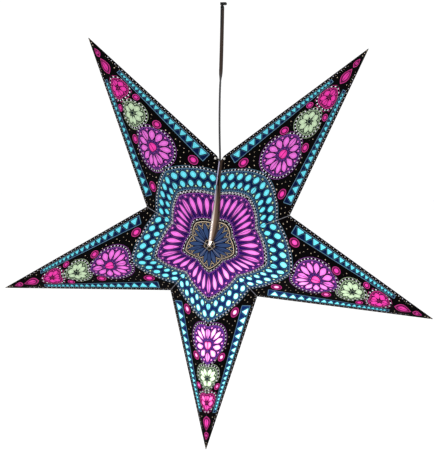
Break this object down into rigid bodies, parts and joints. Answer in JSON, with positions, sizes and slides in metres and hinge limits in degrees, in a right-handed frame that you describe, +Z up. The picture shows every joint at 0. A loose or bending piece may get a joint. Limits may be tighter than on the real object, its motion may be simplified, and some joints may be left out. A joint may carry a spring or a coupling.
{
  "type": "paper star lantern",
  "caption": "Folding five-pointed paper star lantern with ridged printed arms, hung by its flex from a top fitting, with a screw-in globe lamp inside.",
  "frame": {"origin": "middle of the top fitting's flat upper face, at its clamp, where the lantern is fixed to a ceiling or shelf", "axes": "+Z up along the hanging flex, -Y towards the front of the star, +X to the right seen from the front"},
  "size_m": [0.5975, 0.1808, 0.6196],
  "materials": {
    "printed_paper": "screen-printed, matt",
    "bare_paper": "unprinted, matt",
    "black_plastic": "moulded",
    "brass": "stamped",
    "nickel": "nickelled",
    "opal_glass": "opal",
    "flex_sheath": "satin",
    "string": "twisted cotton"
  },
  "bodies": {
    "fitting": {"ceiling_bar": "black_plastic"},
    "clamp": {"cord_clamp": "black_plastic"},
    "hung_facet": {"arm_5_front_second": "printed_paper", "flex": "flex_sheath", "cord_grip": "black_plastic", "holder_cap": "black_plastic", "holder_body": "black_plastic", "screw_liner": "brass", "centre_contact": "brass", "tie_left": "string"},
    "bulb": {"bulb_base": "nickel", "bulb_glass": "opal_glass"},
    "arm_5_front_first": {"arm_5_front_first": "printed_paper", "seam_rib_4_5_front": "bare_paper"},
    "arm_4_front_second": {"arm_4_front_second": "printed_paper"},
    "arm_4_front_first": {"arm_4_front_first": "printed_paper", "seam_rib_3_4_front": "bare_paper"},
    "arm_3_front_second": {"arm_3_front_second": "printed_paper"},
    "arm_3_front_first": {"arm_3_front_first": "printed_paper", "seam_rib_2_3_front": "bare_paper"},
    "arm_2_front_second": {"arm_2_front_second": "printed_paper"},
    "arm_2_front_first": {"arm_2_front_first": "printed_paper", "seam_rib_1_2_front": "bare_paper"},
    "arm_1_front_second": {"arm_1_front_second": "printed_paper"},
    "arm_1_front_first": {"arm_1_front_first": "printed_paper", "tie_right": "string"},
    "arm_5_back_second": {"arm_5_back_second": "printed_paper"},
    "arm_5_back_first": {"arm_5_back_first": "printed_paper", "seam_rib_4_5_back": "bare_paper"},
    "arm_4_back_second": {"arm_4_back_second": "printed_paper"},
    "arm_4_back_first": {"arm_4_back_first": "printed_paper", "seam_rib_3_4_back": "bare_paper"},
    "arm_3_back_second": {"arm_3_back_second": "printed_paper"},
    "arm_3_back_first": {"arm_3_back_first": "printed_paper", "seam_rib_2_3_back": "bare_paper"},
    "arm_2_back_second": {"arm_2_back_second": "printed_paper"},
    "arm_2_back_first": {"arm_2_back_first": "printed_paper", "seam_rib_1_2_back": "bare_paper"},
    "arm_1_back_second": {"arm_1_back_second": "printed_paper"},
    "arm_1_back_first": {"arm_1_back_first": "printed_paper"},
    "closing_flap_front": {"closing_flap_front": "bare_paper"},
    "closing_flap_back": {"closing_flap_back": "bare_paper"}
  },
  "joints": [
    {"name": "swing", "type": "hinge", "parent": "fitting", "child": "clamp", "pos_m": [0, 0, -0.0058], "axis": [0, 1, 0], "range_deg": [-20, 20]},
    {"name": "turn", "type": "hinge", "parent": "clamp", "child": "hung_facet", "pos_m": [0, 0, -0.0058], "axis": [0, 0, 1], "range_deg": [-180, 180], "stiffness_Nm_per_rad": 0.002},
    {"name": "bulb_turn", "type": "hinge", "parent": "hung_facet", "child": "bulb", "pos_m": [-0.0035, 0, -0.28], "axis": [0, 0, 1], "range_deg": [0, 1440]},
    {"name": "fold", "type": "hinge", "parent": "hung_facet", "child": "arm_5_front_first", "pos_m": [-0.0077, -0.091, -0.3055], "axis": [0.5261, -0.2771, -0.804], "range_deg": [0, 20]},
    {"name": "seam_4_5_crease", "type": "hinge", "parent": "arm_5_front_first", "child": "arm_4_front_second", "pos_m": [-0.0077, -0.091, -0.3055], "axis": [-0.7012, 0.6614, 0.2663], "range_deg": [0, 18.8]},
    {"name": "ridge_4_crease", "type": "hinge", "parent": "arm_4_front_second", "child": "arm_4_front_first", "pos_m": [-0.0077, -0.091, -0.3055], "axis": [0.9272, -0.2771, 0.2519], "range_deg": [0, 20]},
    {"name": "seam_3_4_crease", "type": "hinge", "parent": "arm_4_front_first", "child": "arm_3_front_second", "pos_m": [-0.0077, -0.091, -0.3055], "axis": [-0.47, 0.6614, -0.5845], "range_deg": [0, 18.8]},
    {"name": "ridge_3_crease", "type": "hinge", "parent": "arm_3_front_second", "child": "arm_3_front_first", "pos_m": [-0.0077, -0.091, -0.3055], "axis": [0.0469, -0.2771, 0.9597], "range_deg": [0, 20]},
    {"name": "seam_2_3_crease", "type": "hinge", "parent": "arm_3_front_first", "child": "arm_2_front_second", "pos_m": [-0.0077, -0.091, -0.3055], "axis": [0.4107, 0.6614, -0.6276], "range_deg": [0, 18.8]},
    {"name": "ridge_2_crease", "type": "hinge", "parent": "arm_2_front_second", "child": "arm_2_front_first", "pos_m": [-0.0077, -0.091, -0.3055], "axis": [-0.8982, -0.2771, 0.3412], "range_deg": [0, 20]},
    {"name": "seam_1_2_crease", "type": "hinge", "parent": "arm_2_front_first", "child": "arm_1_front_second", "pos_m": [-0.0077, -0.091, -0.3055], "axis": [0.7238, 0.6614, 0.1967], "range_deg": [0, 18.8]},
    {"name": "ridge_1_crease", "type": "hinge", "parent": "arm_1_front_second", "child": "arm_1_front_first", "pos_m": [-0.0077, -0.091, -0.3055], "axis": [-0.6021, -0.2771, -0.7488], "range_deg": [0, 20]},
    {"name": "side_5_second_crease", "type": "hinge", "parent": "hung_facet", "child": "arm_5_back_second", "pos_m": [-0.18046, 0, -0.0415], "axis": [0.7414, 0, -0.671], "range_deg": [0, 19.7]},
    {"name": "side_5_first_crease", "type": "hinge", "parent": "arm_5_front_first", "child": "arm_5_back_first", "pos_m": [-0.18046, 0, -0.0415], "axis": [-0.3181, 0, 0.9481], "range_deg": [0, 19.7]},
    {"name": "side_4_second_crease", "type": "hinge", "parent": "arm_4_front_second", "child": "arm_4_back_second", "pos_m": [-0.31216, 0, -0.38822], "axis": [0.8673, 0, 0.4978], "range_deg": [0, 19.7]},
    {"name": "side_4_first_crease", "type": "hinge", "parent": "arm_4_front_first", "child": "arm_4_back_first", "pos_m": [-0.31216, 0, -0.38822], "axis": [-1, 0, -0.0096], "range_deg": [0, 19.7]},
    {"name": "side_3_second_crease", "type": "hinge", "parent": "arm_3_front_second", "child": "arm_3_back_second", "pos_m": [-0.02311, 0, -0.62062], "axis": [-0.2054, 0, 0.9787], "range_deg": [0, 19.7]},
    {"name": "side_3_first_crease", "type": "hinge", "parent": "arm_3_front_first", "child": "arm_3_back_first", "pos_m": [-0.02311, 0, -0.62062], "axis": [-0.2999, 0, -0.954], "range_deg": [0, 19.7]},
    {"name": "side_2_second_crease", "type": "hinge", "parent": "arm_2_front_second", "child": "arm_2_back_second", "pos_m": [0.28724, 0, -0.41754], "axis": [-0.9942, 0, 0.1071], "range_deg": [0, 19.7]},
    {"name": "side_2_first_crease", "type": "hinge", "parent": "arm_2_front_first", "child": "arm_2_back_first", "pos_m": [0.28724, 0, -0.41754], "axis": [0.8146, 0, -0.58], "range_deg": [0, 19.7]},
    {"name": "side_1_second_crease", "type": "hinge", "parent": "arm_1_front_second", "child": "arm_1_back_second", "pos_m": [0.18999, 0, -0.05962], "axis": [-0.4091, 0, -0.9125], "range_deg": [0, 19.7]},
    {"name": "side_1_first_crease", "type": "hinge", "parent": "arm_1_front_first", "child": "arm_1_back_first", "pos_m": [0.18999, 0, -0.05962], "axis": [0.8034, 0, 0.5955], "range_deg": [0, 19.7]},
    {"name": "closing_flap_front_crease", "type": "hinge", "parent": "hung_facet", "child": "closing_flap_front", "pos_m": [-0.0077, -0.091, -0.3055], "axis": [0.0366, 0.6614, 0.7492], "range_deg": [0, 35]},
    {"name": "closing_flap_back_crease", "type": "hinge", "parent": "arm_5_back_second", "child": "closing_flap_back", "pos_m": [-0.0077, 0.091, -0.3055], "axis": [-0.0366, 0.6614, -0.7492], "range_deg": [0, 35]}
  ],
  "couplings": [
    {"joint": "seam_4_5_crease", "follows": "fold", "ratio": 0.94},
    {"joint": "ridge_4_crease", "follows": "fold", "ratio": 1},
    {"joint": "seam_3_4_crease", "follows": "fold", "ratio": 0.94},
    {"joint": "ridge_3_crease", "follows": "fold", "ratio": 1},
    {"joint": "seam_2_3_crease", "follows": "fold", "ratio": 0.94},
    {"joint": "ridge_2_crease", "follows": "fold", "ratio": 1},
    {"joint": "seam_1_2_crease", "follows": "fold", "ratio": 0.94},
    {"joint": "ridge_1_crease", "follows": "fold", "ratio": 1},
    {"joint": "side_5_second_crease", "follows": "fold", "ratio": 0.985},
    {"joint": "side_5_first_crease", "follows": "fold", "ratio": 0.985},
    {"joint": "side_4_second_crease", "follows": "fold", "ratio": 0.985},
    {"joint": "side_4_first_crease", "follows": "fold", "ratio": 0.985},
    {"joint": "side_3_second_crease", "follows": "fold", "ratio": 0.985},
    {"joint": "side_3_first_crease", "follows": "fold", "ratio": 0.985},
    {"joint": "side_2_second_crease", "follows": "fold", "ratio": 0.985},
    {"joint": "side_2_first_crease", "follows": "fold", "ratio": 0.985},
    {"joint": "side_1_second_crease", "follows": "fold", "ratio": 0.985},
    {"joint": "side_1_first_crease", "follows": "fold", "ratio": 0.985}
  ]
}
